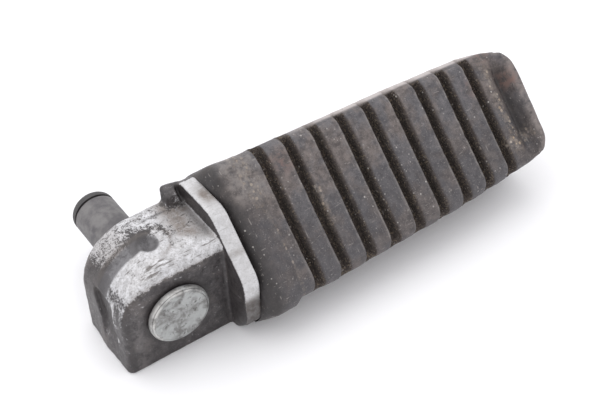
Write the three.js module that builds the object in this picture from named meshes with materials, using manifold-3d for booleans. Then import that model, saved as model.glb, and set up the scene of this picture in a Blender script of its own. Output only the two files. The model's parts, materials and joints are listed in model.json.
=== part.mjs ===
// Folding rider's foot peg: a cast arm that turns on a headed pin, with a ribbed rubber tread pad
// bolted to the arm from below. Millimetres, +Z up, +X along the peg from the knuckle to the tip.
// The origin is on the knuckle's flat base, straight below the pin's axis.
import * as THREE from 'three';
import { mergeVertices } from 'three/addons/utils/BufferGeometryUtils.js';
import Module from 'manifold-3d';

const wasm = await Module();
wasm.setup();

// ---- Driving dimensions -------------------------------------------------------------------

const GAP = 0.3; // between pieces that touch
const PIN_AXIS_HEIGHT = 13.8; // pin axis above the knuckle's base
const TREAD_ROLL = THREE.MathUtils.degToRad(45); // the tread faces up and forward, to -Y

// Pivot pin
const PIN_RADIUS = 6;
const PIN_HEAD_RADIUS = 8.2;
const PIN_HEAD_THICKNESS = 1.9;
const PIN_HEAD_BEVEL = 0.45;
const PIN_END_Y = 33.4;
const PIN_END_CHAMFER = 0.8;
const CLIP_GROOVE_Y = 29.8; // the side of the groove nearer the head
const CLIP_GROOVE_WIDTH = 1;
const CLIP_GROOVE_DEPTH = 0.5;
const PIN_SEGMENTS = 64;

// Knuckle
const BORE_RADIUS = 6.1;
const KNUCKLE_FRONT_Y = -12; // face under the pin's head
const KNUCKLE_BACK_Y = 11.2;
const KNUCKLE_RADIUS = 14.6; // about the pin axis, from the top to the front of the stop face
const KNUCKLE_EDGE = 3.6; // rounding of the knuckle's long edges
const BASE_CORNER = 0.5; // at the lower left

// Flange plate between knuckle and tread
const PLATE_LEFT = 14.5;
const PLATE_THICKNESS = 4.4;
const PLATE_RIGHT = PLATE_LEFT + PLATE_THICKNESS;
const PLATE_REACH = { front: 20, back: 19.6 }; // across the tread, either way from the middle
const PLATE_TOP = 18.6;
const PLATE_TOP_CORNER = { front: 10.1, back: 8.8 }; // where its 45 degree corners begin
const PLATE_BOTTOM = -9.5;
const PLATE_CHAMFER = 19.5; // w - h on the lower corners, so the front one touches the base plane
const PLATE_EDGE = 0.5;

// Stop lug behind the knuckle's top, against the plate
const LUG_LEFT = 10;
const LUG_FRONT_Y = 5.6;
const LUG_TOP = 32.4;
const LUG_CORNER = 1.2;
const LUG_ROOT = 2; // depth of the lug inside the knuckle
const LUG_EDGE = 0.8;

// Detent for the bracket's spring ball
const DIMPLE_Y = -1.4;
const DIMPLE_RADIUS = 2.9;
const DIMPLE_DEPTH = 1.2;
const TRACK_Y = -0.6;
const TRACK_RADIUS = 2.4; // of the ball's worn path
const TRACK_DEPTH = 0.5;
const TRACK_END = THREE.MathUtils.degToRad(158); // where the path meets the stop face's recess
const RECESS_DEPTH = 1.3; // of the hollow that the stop has worn
const RECESS_LOW = { z: 5, front: -7.4, back: -0.5 };
const RECESS_HIGH = { z: 18.6, front: -5.6, back: 3.6 };

// Bar inside the tread pad
const BAR_TIP = 98;
const BAR_HALF_WIDTH = 9.5;
const BAR_TOP = 4;
const BAR_BOTTOM = -3;
const BAR_EDGE = 1.5;
const BAR_HOLE_RADIUS = 3.4;

// Rubber tread pad
const PAD_LEFT = PLATE_RIGHT + GAP;
const PAD_TIP = 110.8;
const PAD_TOP = 17;
const PAD_LIP_TOP = 20.4; // the raised outer end
const PAD_HALF_WIDTH = 19.6; // from the plate to the second rib
const PAD_SHOULDER_X = 42; // from here the pad narrows outwards
const PAD_OUTER_REACH = { x: 74, front: 18.4, back: 18.3 }; // and from here it narrows faster
const PAD_TIP_REACH = { front: 16.8, back: 17.4 }; // where the tip's corners begin
const PAD_TIP_CORNER = { front: 5, back: 9 };
const PAD_TIP_CORNER_X = 102;
const PAD_TIP_TAPER = 2.6;
const PAD_EDGE = 4; // rounding of the tread's long edges
const PAD_BOTTOM = -9;
const PAD_CHAMFER = 19.3; // w - h on the lower chamfers, so the pad lies just above the base plane
const NECK_DROP = 2.4; // the pad's neck is lower than its ribs, by the plate
const NECK_LENGTH = 5;
const COLLAR_LEFT = 20.4; // a raised band around the pad, before the first groove
const COLLAR_RIGHT = 29.3;
const COLLAR_TOP = 18.2;
const COLLAR_FRONT = 20.9; // reach to the front, across the tread
const COLLAR_BACK = 19.9;
const COLLAR_EDGE = 1.4;
const RIB_PITCH = 8.08;
const GROOVE_COUNT = 9;
const FIRST_GROOVE_X = 32.4;
const GROOVE_WIDTH = 3.1;
const GROOVE_DEPTH = 3.4;
const GROOVE_DRAFT = { left: 0.3, right: 0.8 }; // how far the walls lean over the groove's depth
const GROOVE_CORNER = 0.7;
const DISH_X = 105;
const DISH_HALF_LENGTH = 2.6;
const DISH_SIDE = 1.4; // half the length of its floor
const DISH_DEPTH = 2.2;
const LIP_EDGE = 2.2;
const TIP_UNDERCUT = { x: 3, top: 4 }; // the tip's lower end curves back towards the bar
const WINDOW_HALF_WIDTH = 7.6; // opening under the pad, where the bolts go in
const WINDOW_LEFT = 25;
const WINDOW_RIGHT = 95;

// Steel plate moulded into the pad, with two weld nuts
const INSERT_LEFT = 26;
const INSERT_RIGHT = 97;
const INSERT_HALF_WIDTH = 12;
const INSERT_THICKNESS = 2;
const NUT_ACROSS_FLATS = 10;
const NUT_HEIGHT = 4;
const THREAD_HOLE_RADIUS = 3.2;

// Pad bolts and their washers
const BOLT_X = { inner: 40.3, outer: 80.7 };
const BOLT_RADIUS = 3;
const BOLT_HEAD_HEIGHT = 4;
const BOLT_HEAD_ACROSS_FLATS = 10;
const WASHER_THICKNESS = 1.6;
const FLAT_WASHER_RADIUS = 6.2;
const SPRING_WASHER_RADIUS = 5.6;
const SPRING_WASHER_SPLIT = 1.2;
const FASTENER_SEGMENTS = 32;

// ---- Materials ----------------------------------------------------------------------------

function finish(color, roughness, metalness) {
  return new THREE.MeshStandardMaterial({ color, roughness, metalness });
}

const castArm = finish(0x8d8b89, 0.5, 0.8);
const rubber = finish(0x4f4d4f, 0.85, 0);
const pinSteel = finish(0x8f8c8c, 0.45, 0.9);
const plateSteel = finish(0x6f6c68, 0.6, 0.8);
const boltSteel = finish(0xa3a29c, 0.4, 0.9);

// ---- Solid tools --------------------------------------------------------------------------

const X = new THREE.Vector3(1, 0, 0);
const Y = new THREE.Vector3(0, 1, 0);
const Z = new THREE.Vector3(0, 0, 1);

// From the tread's own frame (x, across, height above the pin axis) to the object's frame.
const TREAD_FRAME = new THREE.Matrix4()
  .makeTranslation(0, 0, PIN_AXIS_HEIGHT)
  .multiply(new THREE.Matrix4().makeRotationX(TREAD_ROLL));

function toSolid(geometry) {
  const bare = geometry.clone();
  bare.deleteAttribute('normal');
  bare.deleteAttribute('uv');
  const merged = mergeVertices(bare, 1e-4);
  const vertProperties = new Float32Array(merged.attributes.position.array);
  const triVerts = new Uint32Array(merged.index.array);
  return new wasm.Manifold(new wasm.Mesh({ numProp: 3, vertProperties, triVerts }));
}

function toGeometry(solid) {
  const mesh = solid.getMesh();
  const geometry = new THREE.BufferGeometry();
  geometry.setAttribute('position', new THREE.BufferAttribute(mesh.vertProperties, 3));
  geometry.setIndex(new THREE.BufferAttribute(mesh.triVerts, 1));
  geometry.computeVertexNormals();
  return geometry;
}

function join(first, ...others) {
  return others.reduce((sum, solid) => sum.add(solid), first);
}

function cut(first, ...others) {
  return others.reduce((rest, solid) => rest.subtract(solid), first);
}

// A closed outline whose corners [x, y, radius] are rounded; a radius of 0 or none stays sharp.
function roundedShape(corners) {
  const shape = new THREE.Shape();
  const count = corners.length;
  corners.forEach(([x, y, radius = 0], i) => {
    const corner = new THREE.Vector2(x, y);
    const before = new THREE.Vector2(...corners[(i + count - 1) % count].slice(0, 2)).sub(corner);
    const after = new THREE.Vector2(...corners[(i + 1) % count].slice(0, 2)).sub(corner);
    const halfAngle = Math.acos(before.dot(after) / before.length() / after.length()) / 2;
    const setback = radius / Math.tan(halfAngle);
    const start = corner.clone().add(before.setLength(setback));
    const end = corner.clone().add(after.setLength(setback));
    if (i === 0) shape.moveTo(start.x, start.y);
    else shape.lineTo(start.x, start.y);
    if (radius > 0) shape.quadraticCurveTo(corner.x, corner.y, end.x, end.y);
  });
  shape.closePath();
  return shape;
}

// Extrudes an outline drawn in (x, z) from y = back to y = front; edge rounds its two ends.
function prismAlongY(shape, back, front, edge = 0) {
  const geometry = new THREE.ExtrudeGeometry(shape, {
    depth: back - front - 2 * edge,
    curveSegments: 12,
    bevelEnabled: edge > 0,
    bevelThickness: edge,
    bevelSize: edge,
    bevelOffset: -edge,
    bevelSegments: 5,
  });
  geometry.rotateX(Math.PI / 2);
  geometry.translate(0, back - edge, 0);
  return geometry;
}

// Extrudes an outline drawn in (y, z) from x = left to x = right; edge rounds its two ends.
function prismAlongX(shape, left, right, edge = 0) {
  const geometry = new THREE.ExtrudeGeometry(shape, {
    depth: right - left - 2 * edge,
    curveSegments: 8,
    bevelEnabled: edge > 0,
    bevelThickness: edge,
    bevelSize: edge,
    bevelOffset: -edge,
    bevelSegments: 2,
  });
  geometry.applyMatrix4(new THREE.Matrix4().makeBasis(Y, Z, X));
  geometry.translate(left + edge, 0, 0);
  return geometry;
}

// Extrudes an outline drawn in (x, y) from z = low to z = high.
function prismAlongZ(shape, low, high) {
  const geometry = new THREE.ExtrudeGeometry(shape, {
    depth: high - low,
    curveSegments: 10,
    bevelEnabled: false,
  });
  geometry.translate(0, 0, low);
  return geometry;
}

function box(low, high) {
  const geometry = new THREE.BoxGeometry(high[0] - low[0], high[1] - low[1], high[2] - low[2]);
  const middle = low.map((value, i) => (value + high[i]) / 2);
  geometry.translate(...middle);
  return geometry;
}

// A cylinder along the tread's height, standing at (x, 0).
function upright(x, radius, low, high, segments = FASTENER_SEGMENTS) {
  const geometry = new THREE.CylinderGeometry(radius, radius, high - low, segments);
  geometry.rotateX(Math.PI / 2);
  geometry.translate(x, 0, (low + high) / 2);
  return geometry;
}

function hexagon(x, acrossFlats, low, high) {
  return upright(x, acrossFlats / Math.sqrt(3), low, high, 6);
}

// ---- Heights of the stack that holds the pad, in the tread's frame ---------------------------

const INSERT_LOW = BAR_TOP + GAP;
const INSERT_HIGH = INSERT_LOW + INSERT_THICKNESS;
const NUT_LOW = INSERT_HIGH + GAP;
const NUT_HIGH = NUT_LOW + NUT_HEIGHT;
const FLAT_WASHER_HIGH = BAR_BOTTOM - GAP;
const FLAT_WASHER_LOW = FLAT_WASHER_HIGH - WASHER_THICKNESS;
const SPRING_WASHER_HIGH = FLAT_WASHER_LOW - GAP;
const SPRING_WASHER_LOW = SPRING_WASHER_HIGH - WASHER_THICKNESS;
const HEAD_HIGH = SPRING_WASHER_LOW - GAP;
const HEAD_LOW = HEAD_HIGH - BOLT_HEAD_HEIGHT;
const BOLT_END = NUT_HIGH - GAP;

// ---- Cast arm -----------------------------------------------------------------------------

function knuckleBlock() {
  const top = PIN_AXIS_HEIGHT + KNUCKLE_RADIUS;
  const below = -KNUCKLE_EDGE - 1; // cut off at the base, so the base's long edges stay sharp
  const shape = new THREE.Shape();
  shape.moveTo(-KNUCKLE_RADIUS, below);
  shape.lineTo(PLATE_RIGHT, below);
  shape.lineTo(PLATE_RIGHT, top);
  shape.lineTo(0, top);
  shape.absarc(0, PIN_AXIS_HEIGHT, KNUCKLE_RADIUS, Math.PI / 2, Math.PI, false);
  shape.closePath();
  const block = toSolid(prismAlongY(shape, KNUCKLE_BACK_Y, KNUCKLE_FRONT_Y, KNUCKLE_EDGE));
  const keep = roundedShape([
    [-KNUCKLE_RADIUS - 1, top + 1],
    [-KNUCKLE_RADIUS, BASE_CORNER],
    [-KNUCKLE_RADIUS + BASE_CORNER, 0],
    [PLATE_LEFT + 1, 0],
    [PLATE_LEFT + 1, top + 1],
  ]);
  return block.intersect(toSolid(prismAlongY(keep, KNUCKLE_BACK_Y + 1, KNUCKLE_FRONT_Y - 1)));
}

function flangePlate() {
  const { front, back } = PLATE_REACH;
  const shoulder = PLATE_CHAMFER + PLATE_BOTTOM;
  const shape = roundedShape([
    [-front, front - PLATE_CHAMFER, 1],
    [-shoulder, PLATE_BOTTOM, 2],
    [shoulder, PLATE_BOTTOM, 2],
    [back, back - PLATE_CHAMFER, 1],
    [back, PLATE_TOP - back + PLATE_TOP_CORNER.back, 2],
    [PLATE_TOP_CORNER.back, PLATE_TOP, 2],
    [-PLATE_TOP_CORNER.front, PLATE_TOP, 2],
    [-front, PLATE_TOP - front + PLATE_TOP_CORNER.front, 2],
  ]);
  return prismAlongX(shape, PLATE_LEFT, PLATE_RIGHT, PLATE_EDGE).applyMatrix4(TREAD_FRAME);
}

function stopLug() {
  const shape = roundedShape([
    [LUG_LEFT, PIN_AXIS_HEIGHT + KNUCKLE_RADIUS - LUG_ROOT],
    [PLATE_LEFT + 1, PIN_AXIS_HEIGHT + KNUCKLE_RADIUS - LUG_ROOT],
    [PLATE_LEFT + 1, LUG_TOP],
    [LUG_LEFT, LUG_TOP, LUG_CORNER],
  ]);
  return prismAlongY(shape, KNUCKLE_BACK_Y - LUG_EDGE / 4, LUG_FRONT_Y, LUG_EDGE);
}

// The bar starts inside the plate, which it is cast with.
function padBar() {
  const section = roundedShape([
    [-BAR_HALF_WIDTH, BAR_BOTTOM, BAR_EDGE],
    [BAR_HALF_WIDTH, BAR_BOTTOM, BAR_EDGE],
    [BAR_HALF_WIDTH, BAR_TOP, BAR_EDGE],
    [-BAR_HALF_WIDTH, BAR_TOP, BAR_EDGE],
  ]);
  return prismAlongX(section, PLATE_LEFT + 1, BAR_TIP, PLATE_EDGE).applyMatrix4(TREAD_FRAME);
}

function dimple() {
  const ball = new THREE.SphereGeometry(DIMPLE_RADIUS, 24, 16);
  ball.translate(0, DIMPLE_Y, PIN_AXIS_HEIGHT + KNUCKLE_RADIUS + DIMPLE_RADIUS - DIMPLE_DEPTH);
  return ball;
}

// The groove that the ball wears as the peg folds: a round section swept about the pin axis.
function ballTrack() {
  const centreRadius = KNUCKLE_RADIUS + TRACK_RADIUS - TRACK_DEPTH;
  const path = new THREE.CatmullRomCurve3(
    Array.from({ length: 9 }, (_, i) => {
      const angle = THREE.MathUtils.lerp(Math.PI / 2, TRACK_END, i / 8);
      const x = centreRadius * Math.cos(angle);
      return new THREE.Vector3(x, TRACK_Y, PIN_AXIS_HEIGHT + centreRadius * Math.sin(angle));
    }),
  );
  const section = new THREE.Shape();
  section.absarc(0, 0, TRACK_RADIUS, 0, 2 * Math.PI, false);
  return new THREE.ExtrudeGeometry(section, {
    steps: 16,
    curveSegments: 12,
    extrudePath: path,
  });
}

function stopRecess() {
  const outline = roundedShape([
    [RECESS_LOW.front, RECESS_LOW.z, 1],
    [RECESS_LOW.back, RECESS_LOW.z, 1],
    [RECESS_HIGH.back, RECESS_HIGH.z, 2],
    [RECESS_HIGH.front, RECESS_HIGH.z, 2],
  ]);
  return prismAlongX(outline, -KNUCKLE_RADIUS - 3, -KNUCKLE_RADIUS + RECESS_DEPTH);
}

function pegArm() {
  const casting = join(
    knuckleBlock(),
    toSolid(flangePlate()),
    toSolid(stopLug()),
    toSolid(padBar()),
  );
  const bore = new THREE.CylinderGeometry(BORE_RADIUS, BORE_RADIUS, 60, PIN_SEGMENTS);
  bore.translate(0, 0, PIN_AXIS_HEIGHT);
  const boltHoles = Object.values(BOLT_X).map((x) =>
    toSolid(upright(x, BAR_HOLE_RADIUS, BAR_BOTTOM - 1, BAR_TOP + 1).applyMatrix4(TREAD_FRAME)),
  );
  return toGeometry(
    cut(
      casting,
      toSolid(bore),
      toSolid(dimple()),
      toSolid(ballTrack()),
      toSolid(stopRecess()),
      ...boltHoles,
    ),
  );
}

// ---- Pivot pin ----------------------------------------------------------------------------

function pivotPin() {
  const headBack = KNUCKLE_FRONT_Y - GAP;
  const headFront = headBack - PIN_HEAD_THICKNESS;
  const grooveRadius = PIN_RADIUS - CLIP_GROOVE_DEPTH;
  const grooveEnd = CLIP_GROOVE_Y + CLIP_GROOVE_WIDTH;
  const profile = [
    [0, headFront],
    [PIN_HEAD_RADIUS - PIN_HEAD_BEVEL, headFront],
    [PIN_HEAD_RADIUS, headFront + PIN_HEAD_BEVEL],
    [PIN_HEAD_RADIUS, headBack - PIN_HEAD_BEVEL / 2],
    [PIN_HEAD_RADIUS - PIN_HEAD_BEVEL / 2, headBack],
    [PIN_RADIUS, headBack],
    [PIN_RADIUS, CLIP_GROOVE_Y],
    [grooveRadius, CLIP_GROOVE_Y],
    [grooveRadius, grooveEnd],
    [PIN_RADIUS, grooveEnd],
    [PIN_RADIUS, PIN_END_Y - PIN_END_CHAMFER],
    [PIN_RADIUS - PIN_END_CHAMFER, PIN_END_Y],
    [0, PIN_END_Y],
  ];
  const points = profile.map(([radius, y]) => new THREE.Vector2(radius, y));
  return new THREE.LatheGeometry(points, PIN_SEGMENTS);
}

// ---- Tread pad ----------------------------------------------------------------------------

// The pad's outer form is where its section, its plan and its side profile all hold.
function padSection() {
  const shoulder = PAD_CHAMFER + PAD_BOTTOM;
  const reach = PAD_HALF_WIDTH + 1;
  const chamferTop = reach - PAD_CHAMFER;
  return roundedShape([
    [-reach, chamferTop],
    [-shoulder, PAD_BOTTOM, 2],
    [shoulder, PAD_BOTTOM, 2],
    [reach, chamferTop],
    [reach, PAD_LIP_TOP + 5],
    [-reach, PAD_LIP_TOP + 5],
  ]);
}

function padPlan() {
  const { front, back } = PAD_TIP_REACH;
  return roundedShape([
    [PAD_LEFT, -PAD_HALF_WIDTH],
    [PAD_SHOULDER_X, -PAD_HALF_WIDTH],
    [PAD_OUTER_REACH.x, -PAD_OUTER_REACH.front],
    [PAD_TIP_CORNER_X, -front, 3],
    [PAD_TIP, -front + PAD_TIP_TAPER, PAD_TIP_CORNER.front],
    [PAD_TIP, back - PAD_TIP_TAPER, PAD_TIP_CORNER.back],
    [PAD_TIP_CORNER_X, back, 3],
    [PAD_OUTER_REACH.x, PAD_OUTER_REACH.back],
    [PAD_SHOULDER_X, PAD_HALF_WIDTH],
    [PAD_LEFT, PAD_HALF_WIDTH],
  ]);
}

// Neck by the plate, level ribs, and a tip that rises from a shallow dish to a rounded lip.
function padProfile() {
  const shape = new THREE.Shape();
  const dishLeft = DISH_X - DISH_HALF_LENGTH;
  const dishRight = DISH_X + DISH_HALF_LENGTH;
  const sideTop = PAD_TOP - 1;
  shape.moveTo(PAD_LEFT, PAD_BOTTOM - 1);
  shape.lineTo(PAD_TIP - TIP_UNDERCUT.x, PAD_BOTTOM - 1);
  shape.quadraticCurveTo(PAD_TIP, PAD_BOTTOM + 2, PAD_TIP, TIP_UNDERCUT.top);
  shape.lineTo(PAD_TIP, PAD_LIP_TOP - LIP_EDGE);
  shape.quadraticCurveTo(PAD_TIP, PAD_LIP_TOP, PAD_TIP - LIP_EDGE, PAD_LIP_TOP);
  shape.quadraticCurveTo(dishRight, PAD_LIP_TOP - 1, DISH_X + DISH_SIDE, sideTop);
  shape.quadraticCurveTo(DISH_X, PAD_TOP - DISH_DEPTH, DISH_X - DISH_SIDE, sideTop);
  shape.quadraticCurveTo(DISH_X - 2, PAD_TOP, dishLeft, PAD_TOP);
  shape.lineTo(PAD_LEFT + NECK_LENGTH, PAD_TOP);
  shape.quadraticCurveTo(PAD_LEFT + NECK_LENGTH / 3, PAD_TOP, PAD_LEFT, PAD_TOP - NECK_DROP);
  shape.closePath();
  return shape;
}

// Long rounded edges of the tread: a section that is narrow enough only for the ribs' height.
function padCrown() {
  const top = PAD_LIP_TOP + 0.2;
  const edgeTop = PAD_TOP + PAD_EDGE / 10;
  return roundedShape([
    [-PAD_HALF_WIDTH, PAD_BOTTOM - 1],
    [PAD_HALF_WIDTH, PAD_BOTTOM - 1],
    [PAD_HALF_WIDTH, PAD_TOP - PAD_EDGE],
    [PAD_HALF_WIDTH - PAD_EDGE / 3, PAD_TOP - PAD_EDGE / 3],
    [PAD_HALF_WIDTH - PAD_EDGE, edgeTop],
    [PAD_HALF_WIDTH - 2 * PAD_EDGE, top],
    [-PAD_HALF_WIDTH + 2 * PAD_EDGE, top],
    [-PAD_HALF_WIDTH + PAD_EDGE, edgeTop],
    [-PAD_HALF_WIDTH + PAD_EDGE / 3, PAD_TOP - PAD_EDGE / 3],
    [-PAD_HALF_WIDTH, PAD_TOP - PAD_EDGE],
  ]);
}

function padCollar() {
  const shoulder = PAD_CHAMFER + PAD_BOTTOM;
  const shape = roundedShape([
    [-COLLAR_FRONT, COLLAR_FRONT - PAD_CHAMFER],
    [-shoulder, PAD_BOTTOM, 2],
    [shoulder, PAD_BOTTOM, 2],
    [COLLAR_BACK, COLLAR_BACK - PAD_CHAMFER],
    [COLLAR_BACK, COLLAR_TOP, PAD_EDGE],
    [-COLLAR_FRONT, COLLAR_TOP, PAD_EDGE],
  ]);
  return prismAlongX(shape, COLLAR_LEFT, COLLAR_RIGHT, COLLAR_EDGE);
}

function treadGroove(index) {
  const left = FIRST_GROOVE_X + index * RIB_PITCH;
  const floor = PAD_TOP - GROOVE_DEPTH;
  const shape = roundedShape([
    [left + GROOVE_DRAFT.left, floor, GROOVE_CORNER],
    [left + GROOVE_WIDTH - GROOVE_DRAFT.right, floor, GROOVE_CORNER],
    [left + GROOVE_WIDTH, PAD_TOP + 1],
    [left, PAD_TOP + 1],
  ]);
  return prismAlongY(shape, PAD_HALF_WIDTH + 2, -PAD_HALF_WIDTH - 2);
}

// Everything inside the pad, a gap larger than what it holds. It opens at the pad's left end
// and through the window below.
function padHollow() {
  const half = BAR_HALF_WIDTH + GAP;
  const bar = box([PAD_LEFT - 1, -half, BAR_BOTTOM - GAP], [BAR_TIP + GAP, half, INSERT_LOW]);
  const insert = box(
    [INSERT_LEFT - GAP, -INSERT_HALF_WIDTH - GAP, INSERT_LOW - GAP],
    [INSERT_RIGHT + GAP, INSERT_HALF_WIDTH + GAP, INSERT_HIGH + GAP],
  );
  const window = box(
    [WINDOW_LEFT, -WINDOW_HALF_WIDTH, PAD_BOTTOM - 1],
    [WINDOW_RIGHT, WINDOW_HALF_WIDTH, BAR_BOTTOM],
  );
  const nuts = Object.values(BOLT_X).map((x) =>
    hexagon(x, NUT_ACROSS_FLATS + 2 * GAP, NUT_LOW - 1, NUT_HIGH + GAP),
  );
  return [bar, insert, window, ...nuts].map(toSolid);
}

function rubberPad() {
  const reach = PAD_HALF_WIDTH + 2;
  const form = toSolid(prismAlongX(padSection(), PAD_LEFT, PAD_TIP))
    .intersect(toSolid(prismAlongX(padCrown(), PAD_LEFT, PAD_TIP)))
    .intersect(toSolid(prismAlongZ(padPlan(), PAD_BOTTOM - 1, PAD_LIP_TOP + 1)))
    .intersect(toSolid(prismAlongY(padProfile(), reach, -reach)));
  const grooves = Array.from({ length: GROOVE_COUNT }, (_, i) => toSolid(treadGroove(i)));
  return toGeometry(cut(join(form, toSolid(padCollar())), ...grooves, ...padHollow()));
}

function padInsertPlate() {
  const shape = roundedShape([
    [INSERT_LEFT, -INSERT_HALF_WIDTH, 2],
    [INSERT_RIGHT, -INSERT_HALF_WIDTH, 2],
    [INSERT_RIGHT, INSERT_HALF_WIDTH, 2],
    [INSERT_LEFT, INSERT_HALF_WIDTH, 2],
  ]);
  const holes = Object.values(BOLT_X).map((x) =>
    toSolid(upright(x, THREAD_HOLE_RADIUS, INSERT_LOW - 1, INSERT_HIGH + 1)),
  );
  return toGeometry(cut(toSolid(prismAlongZ(shape, INSERT_LOW, INSERT_HIGH)), ...holes));
}

// ---- Fasteners, each at its own x ------------------------------------------------------------

function weldNut(x) {
  const body = toSolid(hexagon(x, NUT_ACROSS_FLATS, NUT_LOW, NUT_HIGH));
  return toGeometry(cut(body, toSolid(upright(x, THREAD_HOLE_RADIUS, NUT_LOW - 1, NUT_HIGH + 1))));
}

function padBolt(x) {
  const shank = toSolid(upright(x, BOLT_RADIUS, HEAD_HIGH - 1, BOLT_END));
  const head = toSolid(hexagon(x, BOLT_HEAD_ACROSS_FLATS, HEAD_LOW, HEAD_HIGH));
  return toGeometry(head.add(shank));
}

function flatWasher(x) {
  const disc = toSolid(upright(x, FLAT_WASHER_RADIUS, FLAT_WASHER_LOW, FLAT_WASHER_HIGH));
  const hole = upright(x, THREAD_HOLE_RADIUS, FLAT_WASHER_LOW - 1, FLAT_WASHER_HIGH + 1);
  return toGeometry(cut(disc, toSolid(hole)));
}

function springWasher(x) {
  const disc = toSolid(upright(x, SPRING_WASHER_RADIUS, SPRING_WASHER_LOW, SPRING_WASHER_HIGH));
  const hole = upright(x, THREAD_HOLE_RADIUS, SPRING_WASHER_LOW - 1, SPRING_WASHER_HIGH + 1);
  const split = box(
    [x, -SPRING_WASHER_SPLIT / 2, SPRING_WASHER_LOW - 1],
    [x + SPRING_WASHER_RADIUS + 1, SPRING_WASHER_SPLIT / 2, SPRING_WASHER_HIGH + 1],
  );
  return toGeometry(cut(disc, toSolid(hole), toSolid(split)));
}

// ---- Scene graph --------------------------------------------------------------------------

function named(name, geometry, material) {
  const mesh = new THREE.Mesh(geometry, material);
  mesh.name = name;
  return mesh;
}

const peg = new THREE.Group();
peg.add(named('peg_arm', pegArm(), castArm));

const pin = named('pivot_pin', pivotPin(), pinSteel);
pin.position.z = PIN_AXIS_HEIGHT;
peg.add(pin);

const tread = new THREE.Group();
tread.position.z = PIN_AXIS_HEIGHT;
tread.rotation.x = TREAD_ROLL;
tread.add(named('rubber_pad', rubberPad(), rubber));
tread.add(named('pad_insert_plate', padInsertPlate(), plateSteel));
for (const [place, x] of Object.entries(BOLT_X)) {
  tread.add(named(`weld_nut_${place}`, weldNut(x), plateSteel));
  tread.add(named(`pad_bolt_${place}`, padBolt(x), boltSteel));
  tread.add(named(`flat_washer_${place}`, flatWasher(x), boltSteel));
  tread.add(named(`spring_washer_${place}`, springWasher(x), boltSteel));
}
peg.add(tread);

export default peg;
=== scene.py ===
# Visual model of a folding foot peg: worn cast arm, ribbed rubber tread, steel pin and pad bolts.
# Lengths are in millimetres in the row's frame until a mesh is written, which is in metres.
import json
import math
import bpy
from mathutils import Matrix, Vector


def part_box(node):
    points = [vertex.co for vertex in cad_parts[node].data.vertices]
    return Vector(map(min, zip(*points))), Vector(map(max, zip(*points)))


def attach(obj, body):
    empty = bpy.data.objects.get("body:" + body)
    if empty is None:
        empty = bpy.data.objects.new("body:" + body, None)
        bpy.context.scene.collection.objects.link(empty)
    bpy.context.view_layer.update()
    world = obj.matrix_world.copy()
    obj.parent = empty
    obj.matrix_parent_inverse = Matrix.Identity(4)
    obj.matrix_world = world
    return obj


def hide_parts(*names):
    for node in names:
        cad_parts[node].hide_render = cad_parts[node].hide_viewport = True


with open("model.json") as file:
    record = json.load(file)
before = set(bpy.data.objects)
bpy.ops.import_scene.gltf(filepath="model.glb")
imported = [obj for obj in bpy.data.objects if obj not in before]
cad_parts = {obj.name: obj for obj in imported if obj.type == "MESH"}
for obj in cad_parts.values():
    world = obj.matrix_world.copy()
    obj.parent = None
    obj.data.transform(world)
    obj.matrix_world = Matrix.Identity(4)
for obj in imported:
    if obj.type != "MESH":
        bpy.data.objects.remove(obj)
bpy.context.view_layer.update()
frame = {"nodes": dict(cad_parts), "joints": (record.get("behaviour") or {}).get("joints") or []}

from types import SimpleNamespace

import bpy
import numpy as np
from mathutils import Matrix, Vector

MM = 0.001

# ---- Places taken from the frame ----


def box_mm(node):
    low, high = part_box(node)
    return np.array(low) / MM, np.array(high) / MM


fold = frame["joints"][0]
PIN_HEIGHT = fold["pos_m"][2] / MM
PIN_LOW, PIN_HIGH = box_mm("pivot_pin")
ARM_LOW, ARM_HIGH = box_mm("peg_arm")
PAD_LOW, PAD_HIGH = box_mm("rubber_pad")
BOLT_ACROSS_FLATS = 10.0
BOLT_X = {
    place: box_mm(f"pad_bolt_{place}")[0][0] + BOLT_ACROSS_FLATS / 2 for place in ("inner", "outer")
}

# ---- Driving dimensions of the shapes, as in the CAD model ----

TREAD_ROLL = math.radians(45)
KNUCKLE_RADIUS = -ARM_LOW[0]
KNUCKLE_FRONT = 12.0
KNUCKLE_BACK = 11.2
PLATE_LEFT = 14.5
PLATE_RIGHT = 18.9
PLATE_FRONT = 20.0
PLATE_BACK = 19.6
PLATE_TOP = 18.6
PLATE_FRONT_CORNER = 10.1
PLATE_BACK_CORNER = 9.3
PLATE_BOTTOM = -9.5
PLATE_CHAMFER = 19.5
BORE_RADIUS = 6.1
DIMPLE_X = -0.2
DIMPLE_Y = -1.4
TRACK_Y = -0.6
TRACK_END = math.radians(158)

BAR_TIP = ARM_HIGH[0]
BAR_HALF_WIDTH = 9.5
BAR_TOP = 4.0
BAR_BOTTOM = -3.0
BOLT_HOLE_RADIUS = 3.4

PAD_LEFT = PAD_LOW[0]
PAD_TIP = PAD_HIGH[0]
PAD_TOP = 17.0
PAD_LIP = 3.4
PAD_BOTTOM = -9.0
PAD_CHAMFER = 19.3
COLLAR_RIGHT = 29.3
RIB_PITCH = 8.08
GROOVE_COUNT = 9
FIRST_GROOVE = 32.4
GROOVE_WIDTH = 3.1
GROOVE_DEPTH = 3.4
DISH_X = 106.2
WINDOW_HALF_WIDTH = 7.6
WINDOW_LEFT = 25.0
WINDOW_RIGHT = 95.0

PIN_RADIUS = 6.0
PIN_HEAD_THICKNESS = 1.9
CIRCLIP_START = 3.6
CIRCLIP_END = 2.8
CIRCLIP_DEPTH = 0.5
HALF_DIAGONAL = math.sqrt(0.5)

# ---- Fields: negative inside a solid, in millimetres ----


def smooth(low, high, value):
    """0 below low and 1 above high, with a soft step between; a low above high turns it round."""
    t = np.clip((value - low) / (high - low), 0, 1)
    return t * t * (3 - 2 * t)


def hump(value, middle, width):
    """1 at the middle, falling off on both sides."""
    return np.exp(-(((value - middle) / width) ** 2))


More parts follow.
